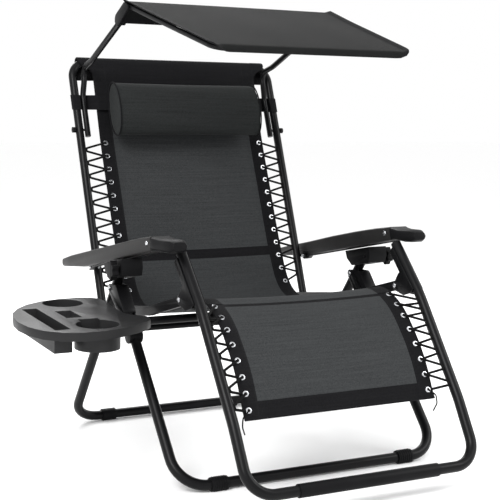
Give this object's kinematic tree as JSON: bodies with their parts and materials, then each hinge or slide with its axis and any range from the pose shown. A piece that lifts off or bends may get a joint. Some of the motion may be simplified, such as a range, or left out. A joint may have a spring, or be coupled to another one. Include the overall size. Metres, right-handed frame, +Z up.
{
  "type": "zero gravity recliner",
  "caption": "Folding zero gravity recliner with a laced sling, pivoting arms, headrest pillow, tilting canopy and a clip-on side tray with cup holders.",
  "frame": {"origin": "centre of the bounding box at ground level", "axes": "+X towards the sitter's left, +Y behind the chair, the way the back leans, +Z up"},
  "size_m": [1.048, 1.0992, 1.1237],
  "materials": {
    "powder_coat": "satin black powder coat with soft highlights",
    "grey_plastic": "dark grey moulded plastic, faintly textured",
    "black_plastic": "black moulded plastic, faintly textured",
    "sling_textile": "charcoal woven mesh with black bound edges",
    "canopy_cloth": "near-black woven polyester",
    "pillow_cover": "black woven cover over soft filling",
    "elastic_cord": "black braided elastic cord",
    "zinc_steel": "bright plated steel"
  },
  "bodies": {
    "rear_legs": {"rear_leg_frame": "powder_coat", "rear_foot_left": "black_plastic", "leg_bolt_left": "zinc_steel", "seat_hanger_left": "powder_coat", "rear_foot_right": "black_plastic", "leg_bolt_right": "zinc_steel", "seat_hanger_right": "powder_coat"},
    "front_legs": {"front_leg_frame": "powder_coat", "front_foot_left": "black_plastic", "leg_bracket_left": "powder_coat", "front_foot_right": "black_plastic", "leg_bracket_right": "powder_coat", "tray_bracket": "black_plastic"},
    "seat_link": {"seat_rail_left": "powder_coat", "back_bolt_left": "zinc_steel", "seat_rail_right": "powder_coat", "back_bolt_right": "zinc_steel", "seat_pivot_tube": "powder_coat", "sling_seat": "sling_textile"},
    "back_frame": {"back_frame": "powder_coat", "back_lower_bar": "powder_coat", "sling_back": "sling_textile", "lace_back_left": "elastic_cord", "lace_back_right": "elastic_cord"},
    "foot_frame": {"foot_tube_left": "powder_coat", "knee_bracket_left": "powder_coat", "knee_bolt_left": "zinc_steel", "lace_leg_left": "elastic_cord", "foot_tube_right": "powder_coat", "knee_bracket_right": "powder_coat", "knee_bolt_right": "zinc_steel", "lace_leg_right": "elastic_cord", "foot_sleeve": "black_plastic", "sling_leg": "sling_textile"},
    "arms": {"arm_rail_left": "powder_coat", "armrest_left": "grey_plastic", "arm_grip_left": "black_plastic", "arm_rivet_left": "zinc_steel", "arm_bolt_left": "zinc_steel", "arm_rail_right": "powder_coat", "armrest_right": "grey_plastic", "arm_grip_right": "black_plastic", "arm_rivet_right": "zinc_steel", "arm_bolt_right": "zinc_steel"},
    "locks": {"lock_housing_left": "black_plastic", "lock_housing_right": "black_plastic"},
    "lock_knob_left": {"lock_knob_left": "grey_plastic"},
    "lock_knob_right": {"lock_knob_right": "grey_plastic"},
    "canopy_struts": {"canopy_strut_left": "powder_coat", "canopy_strut_right": "powder_coat"},
    "canopy": {"canopy_hub_left": "black_plastic", "canopy_hub_right": "black_plastic", "canopy_ridge_bar": "powder_coat", "canopy_front_bow": "powder_coat", "canopy_fabric": "canopy_cloth"},
    "headrest": {"headrest_pillow": "pillow_cover", "pillow_strap": "pillow_cover"},
    "tray": {"side_tray": "grey_plastic"}
  },
  "joints": [
    {"name": "leg_fold", "type": "hinge", "parent": "rear_legs", "child": "front_legs", "pos_m": [0.124, 0.0836, 0.418], "axis": [1, 0, 0], "range_deg": [0, 60]},
    {"name": "recline", "type": "hinge", "parent": "rear_legs", "child": "seat_link", "pos_m": [0.124, 0.0096, 0.343], "axis": [-1, 0, 0], "range_deg": [0, 20]},
    {"name": "back_recline", "type": "hinge", "parent": "seat_link", "child": "back_frame", "pos_m": [0.124, 0.2916, 0.3286], "axis": [-1, 0, 0], "range_deg": [0, 20]},
    {"name": "foot_raise", "type": "hinge", "parent": "seat_link", "child": "foot_frame", "pos_m": [0.124, -0.2064, 0.4262], "axis": [-1, 0, 0], "range_deg": [0, 20]},
    {"name": "arm_level", "type": "hinge", "parent": "back_frame", "child": "arms", "pos_m": [0.124, 0.3076, 0.4434], "axis": [-1, 0, 0], "range_deg": [-20, 0]},
    {"name": "lock_tilt", "type": "hinge", "parent": "rear_legs", "child": "locks", "pos_m": [0.124, 0.0446, 0.467], "axis": [-1, 0, 0], "range_deg": [0, 20]},
    {"name": "knob_turn_left", "type": "hinge", "parent": "locks", "child": "lock_knob_left", "pos_m": [0.514, -0.00093, 0.47389], "axis": [1, 0, 0], "range_deg": [-180, 180]},
    {"name": "knob_turn_right", "type": "hinge", "parent": "locks", "child": "lock_knob_right", "pos_m": [-0.266, -0.00093, 0.47389], "axis": [-1, 0, 0], "range_deg": [-180, 180]},
    {"name": "canopy_swing", "type": "hinge", "parent": "back_frame", "child": "canopy_struts", "pos_m": [0.124, 0.46632, 0.8], "axis": [1, 0, 0], "range_deg": [0, 15]},
    {"name": "canopy_tilt", "type": "hinge", "parent": "canopy_struts", "child": "canopy", "pos_m": [0.124, 0.2086, 1.081], "axis": [1, 0, 0], "range_deg": [-30, 15]},
    {"name": "headrest_slide", "type": "slide", "parent": "back_frame", "child": "headrest", "axis": [0, 0.3507, 0.9365], "range_m": [-0.035, 0.035]},
    {"name": "tray_lift", "type": "slide", "parent": "front_legs", "child": "tray", "axis": [0, -0.037, 0.9993], "range_m": [0, 0.04]}
  ],
  "couplings": [
    {"joint": "back_recline", "follows": "recline", "ratio": 1},
    {"joint": "foot_raise", "follows": "recline", "ratio": 1},
    {"joint": "arm_level", "follows": "recline", "ratio": -1},
    {"joint": "lock_tilt", "follows": "recline", "ratio": 1}
  ]
}
